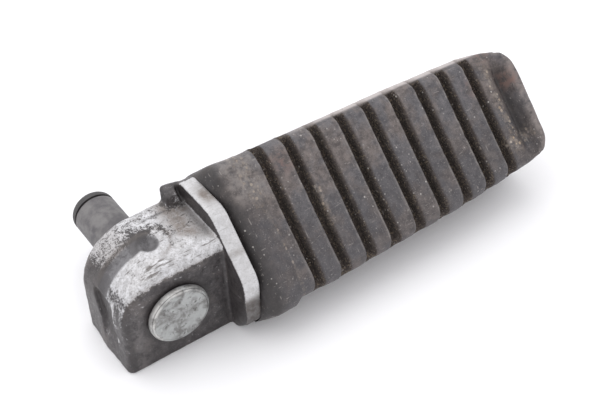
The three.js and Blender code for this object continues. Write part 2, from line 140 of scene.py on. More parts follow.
def spot(u, v, middle, size):
    """1 at a place (u, v), falling off all round it."""
    return np.exp(-(((u - middle[0]) / size[0]) ** 2 + ((v - middle[1]) / size[1]) ** 2))


def both(a, b, r):
    """Where two solids overlap, with the edge between them rounded to radius r."""
    return np.minimum(np.maximum(a, b), -r) + np.hypot(np.maximum(a + r, 0), np.maximum(b + r, 0))


def either(a, b, r):
    """Two solids joined, with a fillet of radius r."""
    return -both(-a, -b, r)


def less(a, b, r):
    """The first solid without the second, with the edges of the cut rounded to radius r."""
    return both(a, -b, r)


def slab(value, low, high):
    """Negative between low and high."""
    return np.abs(value - (low + high) / 2) - (high - low) / 2


def block(u, v, w, low, high, r):
    """A box from low to high with edges rounded to radius r."""
    d = both(slab(u, low[0], high[0]), slab(v, low[1], high[1]), r)
    return both(d, slab(w, low[2], high[2]), r)


def tread_coordinates(y, z):
    """Across the tread (negative to the front) and height above the pin's axis."""
    up = z - PIN_HEIGHT
    c, s = math.cos(TREAD_ROLL), math.sin(TREAD_ROLL)
    return y * c + up * s, up * c - y * s


def from_tread(points):
    """Points (x, across, height) in the tread's frame, in the row's frame."""
    c, s = math.cos(TREAD_ROLL), math.sin(TREAD_ROLL)
    x, across, height = points.T
    return np.c_[x, across * c - height * s, across * s + height * c + PIN_HEIGHT]


def lattice_noise(points, cell, seed):
    """Smooth random values from 0 to 1 with features about one cell wide."""
    table = np.random.default_rng(seed).random((48, 48, 48))
    q = points / cell
    i = np.floor(q).astype(int)
    f = q - i
    f = f * f * (3 - 2 * f)
    value = np.zeros(len(points))
    for dx in (0, 1):
        for dy in (0, 1):
            for dz in (0, 1):
                corner = table[(i[:, 0] + dx) % 48, (i[:, 1] + dy) % 48, (i[:, 2] + dz) % 48]
                weight = np.abs(1 - dx - f[:, 0]) * np.abs(1 - dy - f[:, 1])
                weight = weight * np.abs(1 - dz - f[:, 2])
                value += corner * weight
    return value


def fractal(points, cell, seed, octaves=3):
    """Smooth random values from 0 to 1, with finer ones on top."""
    total = sum(lattice_noise(points, cell / 2**k, seed + k) / 2**k for k in range(octaves))
    return total / sum(1 / 2**k for k in range(octaves))


# ---- Meshing a field ----


def surface_net(field, low, high, step):
    """Points and four-sided faces of a field's zero surface: one point in each cell it crosses."""
    axes = [np.arange(lo - 2 * st, hi + 3 * st, st) for lo, hi, st in zip(low, high, step)]
    grid = np.meshgrid(*axes, indexing="ij")
    d = field(*grid).astype(np.float32)
    inside = d < 0
    shape = np.array(d.shape)
    strides = np.array([shape[1] * shape[2], shape[2], 1])
    cells, places, quads = [], [], []
    for axis in range(3):
        a, b = (axis + 1) % 3, (axis + 2) % 3
        lower = [slice(None)] * 3
        upper = [slice(None)] * 3
        lower[axis], upper[axis] = slice(None, -1), slice(1, None)
        lower, upper = tuple(lower), tuple(upper)
        index = np.argwhere(inside[lower] != inside[upper])
        start = d[lower][tuple(index.T)]
        end = d[upper][tuple(index.T)]
        place = index.astype(float)
        place[:, axis] += start / (start - end)
        ids = []
        for back_a, back_b in ((0, 0), (1, 0), (1, 1), (0, 1)):
            cell = index.copy()
            cell[:, a] -= back_a
            cell[:, b] -= back_b
            ids.append(cell @ strides)
            cells.append(ids[-1])
            places.append(place)
        quad = np.stack(ids, 1)
        quads.append(np.where((start < 0)[:, None], quad, quad[:, ::-1]))
    cells = np.concatenate(cells)
    places = np.concatenate(places)
    used, where = np.unique(cells, return_inverse=True)
    count = np.bincount(where)
    points = np.stack([np.bincount(where, places[:, k]) / count for k in range(3)], 1)
    points = points * np.array(step) + np.array([axis[0] for axis in axes])
    return points, np.searchsorted(used, np.concatenate(quads)).tolist()


def gradient(field, points, reach=0.05):
    """The field's outward directions at the points."""
    slopes = []
    for k in range(3):
        shift = np.zeros(3)
        shift[k] = reach
        slopes.append(field(*(points + shift).T) - field(*(points - shift).T))
    g = np.stack(slopes, 1) / (2 * reach)
    return g / np.maximum(np.linalg.norm(g, axis=1, keepdims=True), 1e-6)


def skin(field, low, high, step):
    """Points on the field's surface, faces, outward directions, and how convex each point is."""
    points, quads = surface_net(field, low, high, step)
    for _ in range(3):
        normal = gradient(field, points)
        points = points - np.clip(field(*points.T), -0.2, 0.2)[:, None] * normal
    normal = gradient(field, points)
    reach = 0.7
    ridge = np.clip((field(*(points - normal * reach).T) + reach) / reach, 0, 1)
    hollow = np.clip((reach - field(*(points + normal * reach).T)) / reach, 0, 1)
    return points, quads, normal, ridge, hollow


def make_piece(name, points, faces, body, stands_for, masks):
    """A mesh from points in millimetres, with each mask written as a value per point."""
    mesh = bpy.data.meshes.new(name)
    mesh.from_pydata((points * MM).tolist(), [], faces)
    for mask, values in masks.items():
        layer = mesh.attributes.new(mask, "FLOAT", "POINT")
        layer.data.foreach_set("value", np.asarray(values, np.float32))
    mesh.polygons.foreach_set("use_smooth", [True] * len(mesh.polygons))
    mesh.update()
    piece = bpy.data.objects.new(name, mesh)
    bpy.context.scene.collection.objects.link(piece)
    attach(piece, body)
    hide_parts(*stands_for)
    return piece


# ---- Cast arm ----

ARM_CELL = (0.40, 0.40, 0.40)
PIT_DEPTH = 0.14


def flange_outline(across, height):
    """The flange seen from the knuckle's end: negative inside its rim."""
    sides = np.maximum(-across - PLATE_FRONT, across - PLATE_BACK)
    upper = np.maximum(
        height - across - PLATE_TOP - PLATE_FRONT_CORNER,
        height + across - PLATE_TOP - PLATE_BACK_CORNER,
    )
    lower = np.abs(across) - height - PLATE_CHAMFER - 0.05
    d = both(both(sides, upper * HALF_DIAGONAL, 1.6), height - PLATE_TOP, 1.8)
    return both(both(d, lower * HALF_DIAGONAL, 1.0), PLATE_BOTTOM - height, 2)


def flange(x, y, z):
    outline = flange_outline(*tread_coordinates(y, z))
    return both(outline, slab(x, PLATE_LEFT, PLATE_RIGHT), 0.6)


def left_flare(x, y, z):
    """How far the left face stands out near the floor, most of all in front and in the middle."""
    lean = 0.5 * np.clip((KNUCKLE_BACK - y) / 23, 0, 1) + 0.5 * hump(y, -1.5, 6.0)
    return lean * smooth(10, 0, z) * (x < 0)


def knuckle(x, y, z):
    up = z - PIN_HEIGHT
    profile = np.hypot(np.maximum(-x, 0), np.maximum(up, 0)) - KNUCKLE_RADIUS
    front_edge = 1.8 + 1.7 * smooth(-10, 2, x) * smooth(-2, 6, up)
    flare = 0.35 * smooth(-7, -13, up)
    d = both(profile - left_flare(x, y, z), -y - KNUCKLE_FRONT - flare, front_edge)
    d = both(d, y - KNUCKLE_BACK, 3.4 - 0.5 * smooth(1, 8, x))
    d = both(d, -z, 0.5)
    return both(d, x - PLATE_LEFT - 2, 0.5)


def stop_lug(x, y, z):
    """A flat-topped lug against the flange, hollowed in front of the ridge that joins them."""
    d = block(x, y, z, (10.0, 5.7, 24.0), (PLATE_LEFT + 1, 10.9, 32.6), 1.2)
    d = both(d, (y + z - 43.3 + 0.5 * (x - 12)) * 0.67, 0.8)
    notch = np.sqrt(((x - 13.9) / 1.2) ** 2 + ((y - 5.6) / 3.0) ** 2 + ((z - 32.8) / 3.3) ** 2) - 1
    return less(d, notch * 1.1, 0.3)


def ball_marks(x, y, z):
    """The dimple on top, and the path that the spring ball wears from it to the stop face."""
    up = z - PIN_HEIGHT
    dimple_up = KNUCKLE_RADIUS + 1.7
    oval = ((y - DIMPLE_Y) * 0.93) ** 2
    dimple = np.sqrt((x - DIMPLE_X) ** 2 + oval + (up - dimple_up) ** 2) - 2.9
    angle = np.clip(np.arctan2(up, x), math.pi / 2, TRACK_END)
    angle = np.where((x < 0) | (up > 0), angle, TRACK_END)
    ring = KNUCKLE_RADIUS + 1.9
    path = np.sqrt(
        (x - ring * np.cos(angle)) ** 2 + (up - ring * np.sin(angle)) ** 2 + (y - TRACK_Y) ** 2
    )
    return either(dimple, path - 2.4, 0.4)


def stop_recess(x, y, z):
    """The hollow that the bracket's stop has worn in the left face; it fades out downwards."""
    share = (z - 5) / 13.6
    front = -7.4 + 1.8 * share
    back = -0.5 + 4.1 * share
    depth = 1.3 * smooth(1.5, 12.5, z) - 0.05
    d = both(front - y, y - back, 0.9)
    d = both(d, z - 18.4, 1.6)
    return both(d, x + KNUCKLE_RADIUS + left_flare(x, y, z) - depth, 0.5)


def bar(x, y, z):
    across, height = tread_coordinates(y, z)
    low = (PLATE_LEFT + 1, -BAR_HALF_WIDTH, BAR_BOTTOM)
    high = (BAR_TIP, BAR_HALF_WIDTH, BAR_TOP)
    d = block(x, across, height, low, high, 1.4)
    for place in BOLT_X.values():
        d = less(d, np.hypot(x - place, across) - BOLT_HOLE_RADIUS, 0.3)
    return d


def arm(x, y, z):
    d = either(knuckle(x, y, z), stop_lug(x, y, z), 1.1)
    d = either(d, flange(x, y, z), 0.8)
    d = either(d, bar(x, y, z), 1.0)
    d = less(d, ball_marks(x, y, z), 0.35)
    d = less(d, stop_recess(x, y, z), 0.4)
    return less(d, np.hypot(x, z - PIN_HEIGHT) - BORE_RADIUS, 0.35)


def arm_zones(p, n):
    """The casting's parts and marks, each as a value from 0 to 1 at every point."""
    x, y, z = p.T
    up = z - PIN_HEIGHT
    k = SimpleNamespace(x=x, y=y, z=z, up=up, n=n)
    k.across, k.height = tread_coordinates(y, z)
    below_crown = KNUCKLE_RADIUS - np.hypot(np.minimum(x, 0), np.maximum(up, 0))
    paint_line = 3.1 * smooth(-15.5, 0, x)
    front = smooth(paint_line - 1.3, paint_line + 0.7, below_crown) * smooth(0.2, 0.5, -n[:, 1])
    k.front_face = np.maximum(front, smooth(0.985, 1.0, -n[:, 1]))
    crown = np.maximum(smooth(0.02, 0.30, n[:, 2]) * (x > -2), smooth(-6.0, 3.0, up) * (x <= -2))
    k.crown = crown * smooth(0.99, 0.8, n[:, 1]) * smooth(-10, 2, up)
    k.front_part = smooth(TRACK_Y - 0.8, TRACK_Y - 2.4, y)

    k.plate = smooth(PLATE_LEFT - 0.3, PLATE_LEFT, x)
    k.plate = k.plate * smooth(PLATE_RIGHT + 0.4, PLATE_RIGHT + 0.1, x)
    rim = k.plate * smooth(-0.75, -0.35, flange_outline(k.across, k.height))
    rim = rim * smooth(0.96, 0.80, np.abs(n[:, 0])) * smooth(8.1, 7.0, y)
    k.rim = rim * smooth(-0.85, -0.5, n[:, 2])
    k.low_rim = k.rim * smooth(16.0, 12.5, z) * smooth(-14, -17, y)
    k.lug = smooth(0.5, 1.3, up - KNUCKLE_RADIUS) * smooth(9.2, 10.0, x) * smooth(4.9, 5.5, y)
    k.lug = k.lug * (1 - k.plate)
    k.lug_front = smooth(0.4, 0.8, -n[:, 1]) * smooth(13.5, 13.0, x)
    k.near_lug = smooth(8.5, 9.5, x) * smooth(4.0, 5.5, y) * (z > 27) * (1 - k.plate)

    # Round the dimple: two bright arcs on its right, with a stained gap, and dirt behind it.
    from_x, from_y = x - DIMPLE_X, y - DIMPLE_Y
    k.from_dimple = np.hypot(from_x, from_y)
    reach = np.maximum(k.from_dimple, 0.1)
    to_right = smooth(0.1, 0.8, (from_x * 0.93 - from_y * 0.36) / reach)
    k.arcs = hump(k.from_dimple, 3.8, 0.7) * to_right
    k.gap = hump(k.from_dimple, 5.6, 0.55) * to_right
    k.behind = smooth(0.0, 0.7, (from_y * 0.8 - from_x * 0.6) / reach)
    rim_dirt = hump(k.from_dimple, 3.6, 0.9) * k.behind
    k.track_dirt = hump(y, TRACK_Y + 2.5, 1.0) * smooth(2, 0, x) * smooth(1, 4, up)
    k.old_dirt = k.crown * np.clip(rim_dirt + k.track_dirt, 0, 1)

    # The stop's hollow in the left face has a worn front edge.
    hollow_edge = y + 5.9 + 1.6 * smooth(11.5, 8.0, z)
    k.worn_edge = hump(hollow_edge, 0, 0.55) * smooth(6, 9, z) * smooth(20.5, 18.5, z) * (x < -12.6)
    return k


def bare_metal(k, ridge):
    """Where the paint has gone: most of all in front of the ball's path, mottled behind it."""
    low_end = smooth(10.2, 7.4, k.up) * smooth(-8, -11, k.x)
    bare = k.crown * (0.59 + 0.24 * k.front_part - 0.40 * low_end)
    bare -= 0.16 * smooth(9.3, 10.4, k.y) * k.crown
    bare += 0.24 * spot(k.x, k.y, (7.5, 3.2), (2.6, 2.2)) * k.crown
    bare += 0.13 * spot(k.x, k.y, (-7.8, 3.3), (2.6, 1.8)) * k.crown
    dark_patch = spot(k.x, k.y, (-1, 2.5), (math.sqrt(8), math.sqrt(8)))
    bare -= 0.18 * dark_patch * (1 - k.front_part)
    by_plate = smooth(7, 11, k.x) * smooth(-5, 0, k.y) * smooth(8.5, 7, k.y)
    bare = (bare + 0.14 * by_plate * k.crown) * (1 - k.front_face)
    bare += k.crown * (0.3 * k.arcs - 0.16 * k.gap) - 0.30 * k.old_dirt
    left_face = smooth(0.5, 0.9, -k.n[:, 0]) * smooth(5, 1, k.up)
    bare = np.maximum(bare, 0.16 * left_face) + 0.80 * k.worn_edge
    bare += 0.20 * np.clip(ridge, 0, 1) * (k.x < -12.5) * smooth(4, 0, k.up)
    bare = np.maximum(bare, 0.10)
    # The flange has a bright rim and black faces, and the lug a lighter front.
    bare = np.where(k.plate > 0.5, 0.06 + 1.0 * k.rim, bare)
    bare = bare * (1 - k.lug) + k.lug * (0.08 + 0.27 * k.lug_front)
    past = smooth(PLATE_RIGHT, PLATE_RIGHT + 0.3, k.x)
    bare = bare * (1 - past) + past * 0.22
    return bare - 0.25 * k.near_lug * (1 - k.lug)


def stained_metal(k):
    """Where dirt has stained the casting brown."""
    corner = smooth(4.5, 9.5, k.x - 0.5 * np.minimum(k.y, 0))
    corner = corner * smooth(-2.5, 1.5, k.y + 0.86 * k.x - 3.2)
    corner = corner * smooth(0.5, 0.9, k.n[:, 2]) * (0.6 + 0.4 * smooth(12.5, 10, k.x))
    stain = corner * (1 - k.plate) * (1 - k.lug)
    stain += 1.15 * k.rim * hump(k.across, 13.9, 2.4) * smooth(14.8, 16.8, k.x)
    stain += 1.1 * k.low_rim
    stain += k.front_face * (1 - k.front_face) * 2.4 * smooth(0, 8, k.up)
    stain += 0.35 * smooth(-1, -6, k.x) * smooth(1, 3, k.y) * k.crown
    stain += 0.8 * k.old_dirt + 0.7 * k.gap * k.crown
    return stain + 0.8 * spot(k.x, k.y, (11.5, 4.5), (2.2, 1.6)) * smooth(30.5, 29, k.z)


def shaded_metal(k):
    """Painted shade on the casting: round the pin's head, in the stop's recess, in the dimple, by
    the flange, on the left faces of the knuckle, flange and lug, low on the flange's rim and low on
    the front; with a dark score line and dirt along the ball's path.
    """
    x, y, z, n = k.x, k.y, k.z, k.n
    shade = 0.9 * smooth(2.4, 0.3, np.hypot(x, k.up) - 8.2) * smooth(0.9, 1, -n[:, 1]) * (x < 13)
    shade += 0.9 * spot(y, z, (-1.5, 16.0), (2.8, 3.2)) * (x < -11.5)
    shade += 0.6 * smooth(0.1, 0.8, x + KNUCKLE_RADIUS) * (x < -12.8) * smooth(18, 16, z)
    shade += 0.85 * k.low_rim + 0.35 * k.track_dirt * k.crown
    by_plate = smooth(10.8, 14.3, x) * smooth(-8.5, -5.5, y) * k.crown
    shade += 0.70 * by_plate * (1 - k.plate)
    back_score = hump(y, 6.0, 0.32) * smooth(0.5, 3, x) * smooth(9.8, 8.6, x)
    shade += 0.85 * back_score * k.crown * (1 - k.lug)
    lug_left = smooth(10.9, 10.2, x) * smooth(28.8, 30.0, z) * smooth(32.2, 31.4, z)
    shade += 0.8 * k.lug * lug_left
    on_top = k.up > 10
    shade += 0.45 * smooth(3.0, 2.4, k.from_dimple) * on_top
    shade += 0.55 * hump(k.from_dimple, 2.9, 0.4) * k.behind * on_top
    shade += 0.5 * k.plate * smooth(-0.8, -0.95, n[:, 0])
    shade += 0.30 * smooth(10, 3, z) * smooth(0.5, 0.9, -n[:, 1])
    shade += 0.35 * smooth(11.5, 14.0, x) * smooth(0.7, 0.95, -n[:, 1]) * (1 - k.plate)
    shade += 0.26 * smooth(-10.8, -12.6, x) * smooth(12, 16, z) * (x < 0)
    return np.clip(shade, 0, 1) - 0.6 * k.worn_edge


def arm_masks(p, n, ridge, hollow):
    """The values that the casting's material reads at each point."""
    k = arm_zones(p, n)
    polish = smooth(0.55, 0.05, ball_marks(k.x, k.y, k.z)) * smooth(-8, -4, k.up)
    streak = hump(k.x, -10.9, 1.3) * k.front_face * smooth(21, 15, k.z) + k.lug * k.lug_front
    scored = spot(k.x, k.y, (-2.5, -9.3), (5.0, 1.9)) * k.crown
    return {
        "bare": np.clip(bare_metal(k, ridge), 0, 1),
        "stain": np.clip(stained_metal(k), 0, 1),
        "shade": np.clip(shaded_metal(k), 0, 1),
        "polish": polish,
        "rim": k.rim,
        "ridge": ridge * (1 - 0.85 * k.near_lug),
        "hollow": hollow * (1 - 0.75 * k.near_lug),
        "streak": np.clip(streak, 0, 1),
        "scored": np.clip(scored, 0, 1),
    }


def build_arm():
    points, quads, normal, ridge, hollow = skin(arm, ARM_LOW, ARM_HIGH, ARM_CELL)
    # The casting is lumpy and pitted, but not on its base, in its bore or inside the pad.
    free = smooth(PLATE_RIGHT, PLATE_RIGHT - 0.5, points[:, 0]) * smooth(0.02, 0.2, points[:, 2])
    from_pin = np.hypot(points[:, 0], points[:, 2] - PIN_HEIGHT)
    free = free * smooth(BORE_RADIUS + 0.2, BORE_RADIUS + 0.8, from_pin)
    free = free * (1 - 0.6 * smooth(PLATE_LEFT - 0.5, PLATE_LEFT, points[:, 0]))
    lumps = (fractal(points, 5.0, 21) - 0.55) * 0.30 + (fractal(points, 1.4, 25) - 0.5) * 0.10
    pits = smooth(0.80, 0.95, lattice_noise(points, 1.1, 31))
    moved = points + normal * ((lumps - PIT_DEPTH * pits) * free)[:, None]
    masks = arm_masks(points, normal, ridge, hollow)
    masks["pits"] = pits
    return make_piece("cast_arm", moved, quads, "arm", ["peg_arm"], masks)


# ---- Tread pad ----

PAD_CELL = (0.34, 0.66, 0.42)


def pad_half_width(x, across, height):
    """The tread narrows towards the tip; its back wall flares below the grooves."""
    taper = 19.4 - 2.8 * np.clip((x - PAD_LEFT) / (102 - PAD_LEFT), 0, 1.2)
    back = smooth(0, 5, across)
    bulge = smooth(20, 42, x) - 0.55 * smooth(80, 100, x)
    outer = smooth(45, 85, x)
    flare = (0.20 + 0.25 * outer) * smooth(15.2, 12.6, height)
    middle = 0.3 * smooth(29, 33, x) * smooth(88, 72, x)
    behind = middle + 0.4 * smooth(60, 100, x) + 0.2 * outer + flare
    return taper + (1 - back) * bulge + back * behind


def pad_form(x, across, height):
    """The tread without its grooves: a slab that narrows, with a round tip, a dish and a lip."""
    span = np.abs(across)
    front = smooth(3, -3, across)
    sides = span - pad_half_width(x, across, height)
    reach = 17.4 + 0.3 * (1 - front) - (0.30 + 0.04 * (1 - front)) * (x - 101.5)
    plan = both(sides, (span - reach) * 0.958, 1.5)
    plan = both(plan, x - PAD_TIP - 0.15 - 0.045 * across, 5.4 * front + 7.2 * (1 - front))
    dish_fade = smooth(14.0, 9.0, np.abs(across + 0.5))
    top = PAD_TOP - 1.7 * hump(x, DISH_X, 1.7) * dish_fade
    top = top + PAD_LIP * smooth(DISH_X - 0.4, PAD_TIP - 2.4, x)
    top = top - 2.4 * smooth(PAD_LEFT + 4.2, PAD_LEFT, x)
    d = both(plan, height - top, 3.8 - 2.4 * smooth(101, 107, x))
    lower = (span - height - PAD_CHAMFER) * HALF_DIAGONAL
    d = both(both(d, lower, 1.6), PAD_BOTTOM - height, 2)
    d = both(d, x - PAD_TIP + 2.2 * smooth(3, -9, height), 1.2)
    return both(d, PAD_LEFT - x, 0.8)


def collar_form(x, across, height):
    """The raised band of rubber against the flange."""
    sides = np.maximum(-across - 20.9, across - 19.9 + 0.5 * smooth(22, 27, x))
    lower = (np.abs(across) - height - PAD_CHAMFER) * HALF_DIAGONAL
    top = height - (PAD_TOP + 1.05 - 0.004 * across**2)
    plan = both(sides, x - COLLAR_RIGHT, 0.8 + 2.4 * smooth(-8, -16, across))
    tight = smooth(COLLAR_RIGHT - 3, COLLAR_RIGHT, x) * smooth(17, 14, np.abs(across))
    d = both(plan, top, 4.4 - 3.2 * tight)
    d = both(both(d, lower, 2.2), PAD_BOTTOM - height, 2)
    return both(d, PAD_LEFT + 1.0 - x + 0.25 * (height - 17), 2.8)


def groove_offset(x):
    """Distance along x from the middle of the nearest groove."""
    first = FIRST_GROOVE + GROOVE_WIDTH / 2
    number = np.clip(np.round((x - first) / RIB_PITCH), 0, GROOVE_COUNT - 1)
    return x - first - number * RIB_PITCH


def groove_form(x, height):
    """Cuts across the tread whose walls on the tip's side lean more."""
    floor = PAD_TOP - GROOVE_DEPTH
    rise = (height - floor) / GROOVE_DEPTH
    offset = groove_offset(x)
    half = GROOVE_WIDTH / 2
    near_wall = -offset - half + 0.25 - 0.1 * rise
    far_wall = (offset - half + 0.75 - 0.45 * rise) * 0.98
    return both(np.maximum(near_wall, far_wall), floor - height, 0.7)


def pad(x, across, height):
    """The pad with its grooves, the hollow for the bar and the window for the bolts."""
    d = either(pad_form(x, across, height), collar_form(x, across, height), 0.5)
    ends = smooth(4.0, 0.0, pad_half_width(x, across, height) - np.abs(across))
    edge = 0.34 + 0.75 * smooth(-0.3, 0.5, groove_offset(x)) + 0.9 * ends * smooth(3, -3, across)
    d = less(d, groove_form(x, height), edge)
    hollow_low = (PAD_LEFT - 9, -BAR_HALF_WIDTH - 0.3, BAR_BOTTOM - 0.3)
    hollow_high = (BAR_TIP + 0.3, BAR_HALF_WIDTH + 0.3, BAR_TOP + 2.6)
    d = less(d, block(x, across, height, hollow_low, hollow_high, 0.5), 0.3)
    window_low = (WINDOW_LEFT, -WINDOW_HALF_WIDTH, PAD_BOTTOM - 9)
    window_high = (WINDOW_RIGHT, WINDOW_HALF_WIDTH, BAR_BOTTOM + 1)
    return less(d, block(x, across, height, window_low, window_high, 1.2), 0.6)


def pad_masks(p, ridge):
    """Where the rubber is worn, dirty, dusty or stained, darker in front and on the collar, and
    where shade and a highlight are painted, in the tread's frame.
    """
    x, across, height = p.T
    depth = np.clip((PAD_TOP - height) / GROOVE_DEPTH, 0, 1.2)
    offset = groove_offset(x)
    # The soil reaches up the leaning wall on the tip's side and onto the rib's edge, where it is
    # painted shade.
    climb = 0.3 + 0.45 * smooth(17, 11, across)
    in_slot = smooth(climb, -0.3, offset - GROOVE_WIDTH / 2)
    in_slot = in_slot * smooth(-GROOVE_WIDTH / 2 - 0.35, -GROOVE_WIDTH / 2 + 0.15, offset)
    shoulder = 0.6 * smooth(0.0, 0.9, offset) * smooth(-0.03, 0.03, depth)
    sunk = np.maximum(smooth(0.02, 0.5, depth), shoulder)
    groove = in_slot * sunk * smooth(30.5, 31.5, x) * smooth(102, 101, x)
    groove = groove * smooth(PAD_TOP - GROOVE_DEPTH - 2.5, PAD_TOP - GROOVE_DEPTH - 0.4, height)
    collar_back = smooth(5, 11, across)
    # Painted shade, with some dirt, in the neck next to the flange, and painted shade in the dish
    # before the lip.
    neck = smooth(PAD_LEFT + 6.4 - 2.8 * collar_back, PAD_LEFT + 1.6, x)
    dish = hump(x, DISH_X + 0.1, 1.15) * smooth(11, 8, np.abs(across - 1.5)) * (height > 10)
    far_side = smooth(GROOVE_WIDTH / 2 + 2.2, GROOVE_WIDTH / 2 + 3, offset)
    right_edge = np.maximum(smooth(-0.2, -1.0, offset), far_side)
    worn = np.clip(ridge * 1.8, 0, 1) * smooth(4, 12, height) * right_edge
    sandy = spot(x, across, (102.2, -9.0), (2.4, 2.4)) + spot(x, across, (106.3, -8.8), (1.5, 1.5))
    sandy = sandy + hump(x, 103.0, 1.2) * smooth(15, 11, np.abs(across - 1))
    sandy = sandy * smooth(10, 12, height)
    line_x = COLLAR_RIGHT - 0.1 - 3.1 * smooth(0, 9, across)
    line = hump(x, line_x, 0.4) * smooth(8, 13, height)
    second_rib = hump(x, 43.9, 0.7) * smooth(7, 2, across) * smooth(-9, -4, across)
    chafed = collar_back * smooth(PAD_LEFT + 2, PAD_LEFT + 4.5, x) * smooth(32.5, 31, x)
    worn = np.maximum(worn, 0.62 * chafed * smooth(8, 12, height))
    dusty_edge = hump(x, 28.2, 1.5) * smooth(1, 8, across) * smooth(8, 13, height)
    dust = np.clip(0.8 * sandy + 0.42 * line + 0.6 * second_rib + 0.5 * dusty_edge, 0, 1)
    # Pale dust and a painted highlight along the back wall, which is seen edge-on.
    ledge_dust_and_sheen = smooth(-1.0, -0.2, across - pad_half_width(x, 10, 20)) * smooth(15.8, 14.6, height)
    ledge_dust_and_sheen = ledge_dust_and_sheen * smooth(10.2, 13.2, height) * smooth(38, 60, x)
    rust = spot(x, across, (38.4, 13.0), (2.6, 2.6)) + spot(x, across, (103.7, 16.0), (2.2, 2.2))
    rust = rust + spot(x, across, (108.0, 6.8), (2.4, 2.4))
    rust = rust + 0.6 * spot(x, across, (96.5, 9.0), (2.4, 2.4))
    # Darker towards the front and on the collar.
    darker_collar = 1.25 * smooth(31.0, 28.6, x) * (1 - 0.75 * collar_back)
    return {
        "groove": groove,
        "shade": np.clip(np.maximum(neck, dish), 0, 1),
        "worn": worn,
        "dust": dust,
        "ledge_dust_and_sheen": ledge_dust_and_sheen,
        "rust": np.clip(rust, 0, 1),
        "lip": smooth(107.4, 108.8, x) * smooth(12, 15, height),
        "darker_front_and_collar": np.maximum(smooth(9, -7, across), darker_collar),
    }


def build_pad():
    low = np.array([PAD_LEFT, -21.0, PAD_BOTTOM])
    high = np.array([PAD_TIP, 20.5, PAD_TOP + PAD_LIP])
    points, quads, normal, ridge, _ = skin(pad, low, high, PAD_CELL)
    masks = pad_masks(points, ridge)
    outer = smooth(-3, 3, points[:, 2])
    waves = (fractal(points, 9.0, 41) - 0.5) * 0.35 + (fractal(points, 2.2, 45) - 0.5) * 0.16
    nicks = -0.30 * masks["worn"] * smooth(0.60, 0.85, lattice_noise(points, 1.6, 51))
    grit = 0.22 * masks["groove"] * (lattice_noise(points, 0.8, 55) - 0.4)
    moved = points + normal * ((waves + nicks + grit) * outer)[:, None]
    return make_piece(
        "tread_pad", from_tread(moved), quads, "arm", ["rubber_pad"], masks
    )


# ---- Pivot pin and fasteners ----

PIN_SEGMENTS = 160
BOLT_CELL = (0.24, 0.24, 0.24)
WASHER_CELL = (0.24, 0.24, 0.2)
BOLT_TOP = 10.2
BOLT_HEAD_HEIGHT = 4.0
THREAD_PITCH = 1.0


def rounded_profile(corners, length=0.45, turn=4):
    """A profile [(radius, height, corner radius), ...] with round corners, closely spaced."""
    spots = []
    count = len(corners)
    for i, (r, h, bend) in enumerate(corners):
        here = np.array([r, h], float)
        if bend == 0 or i in (0, count - 1):
            spots.append(here)
            continue
        before = np.array(corners[i - 1][:2], float) - here
        after = np.array(corners[i + 1][:2], float) - here
        a = here + before / np.linalg.norm(before) * bend
        b = here + after / np.linalg.norm(after) * bend
        for t in np.linspace(0, 1, turn + 1):
            spots.append((1 - t) ** 2 * a + 2 * t * (1 - t) * here + t * t * b)
    dense = [spots[0]]
    for end in spots[1:]:
        start = dense[-1]
        steps = max(1, math.ceil(np.linalg.norm(end - start) / length))
        dense += [start + (end - start) * (k + 1) / steps for k in range(steps)]
    return np.array(dense)


def turned(profile, segments):
    """Points and faces of a profile turned about its height, from its first point to its last.
    A profile that starts and ends on the axis closes with fans there."""
    rings = profile[1:-1]
    angles = np.arange(segments) * 2 * math.pi / segments
    points = [(0.0, 0.0, profile[0][1])]
    for r, h in rings:
        points += [(r * math.cos(a), r * math.sin(a), h) for a in angles]
    points.append((0.0, 0.0, profile[-1][1]))
    faces = []
    last = len(points) - 1
    for k in range(segments):
        n = (k + 1) % segments
        faces.append((0, 1 + n, 1 + k))
        for ring in range(len(rings) - 1):
            a = 1 + ring * segments
            b = a + segments
            faces.append((a + k, a + n, b + n, b + k))
        end = 1 + (len(rings) - 1) * segments
        faces.append((end + k, end + n, last))
    return np.array(points), faces


